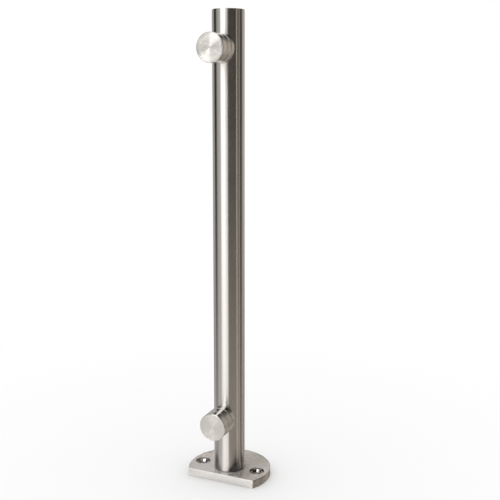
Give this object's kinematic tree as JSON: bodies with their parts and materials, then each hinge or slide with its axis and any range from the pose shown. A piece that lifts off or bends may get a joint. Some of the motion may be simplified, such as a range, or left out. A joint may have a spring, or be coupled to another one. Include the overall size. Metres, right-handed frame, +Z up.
{
  "type": "glass panel post",
  "caption": "Round stainless post on a D-shaped base plate with countersunk holes, and round screw clamps for a glass panel near its top and foot.",
  "frame": {"origin": "on the post's axis at the underside of the base plate", "axes": "+Z up along the post, -Y towards the glass clamps and the flat side of the plate, +X through the fixing holes"},
  "size_m": [0.068, 0.0661, 0.375],
  "materials": {
    "tube_steel": "fine satin round the tube",
    "plate_steel": "satin",
    "clamp_steel": "turned satin",
    "knob_steel": "turned, fine rings on the face",
    "hardware_steel": "plain bright",
    "gasket": "soft matte, pale grey",
    "washer": "smooth"
  },
  "bodies": {
    "post": {"base_plate": "plate_steel", "post_tube": "tube_steel", "end_cap": "tube_steel", "foot_plug": "hardware_steel", "base_screw": "hardware_steel", "lower_barrel": "clamp_steel", "lower_rear_gasket": "gasket", "upper_barrel": "clamp_steel", "upper_rear_gasket": "gasket"},
    "lower_ring": {"lower_front_gasket": "gasket", "lower_clamp_ring": "clamp_steel", "lower_slip_washer": "washer"},
    "lower_knob": {"lower_retaining_clip": "hardware_steel", "lower_stud": "hardware_steel", "lower_knob": "knob_steel"},
    "upper_ring": {"upper_front_gasket": "gasket", "upper_clamp_ring": "clamp_steel", "upper_slip_washer": "washer"},
    "upper_knob": {"upper_retaining_clip": "hardware_steel", "upper_stud": "hardware_steel", "upper_knob": "knob_steel"}
  },
  "joints": [
    {"name": "lower_clamp_slide", "type": "slide", "parent": "post", "child": "lower_ring", "axis": [0, -1, 0], "range_m": [0, 0.01]},
    {"name": "lower_knob_turn", "type": "hinge", "parent": "lower_ring", "child": "lower_knob", "pos_m": [0, -0.0321, 0.053], "axis": [0, -1, 0], "range_deg": [0, 2880]},
    {"name": "upper_clamp_slide", "type": "slide", "parent": "post", "child": "upper_ring", "axis": [0, -1, 0], "range_m": [0, 0.01]},
    {"name": "upper_knob_turn", "type": "hinge", "parent": "upper_ring", "child": "upper_knob", "pos_m": [0, -0.0321, 0.3459], "axis": [0, -1, 0], "range_deg": [0, 2880]}
  ],
  "couplings": [
    {"joint": "lower_knob_turn", "follows": "lower_clamp_slide", "rad_per_m": 5026.5},
    {"joint": "upper_knob_turn", "follows": "upper_clamp_slide", "rad_per_m": 5026.5}
  ]
}
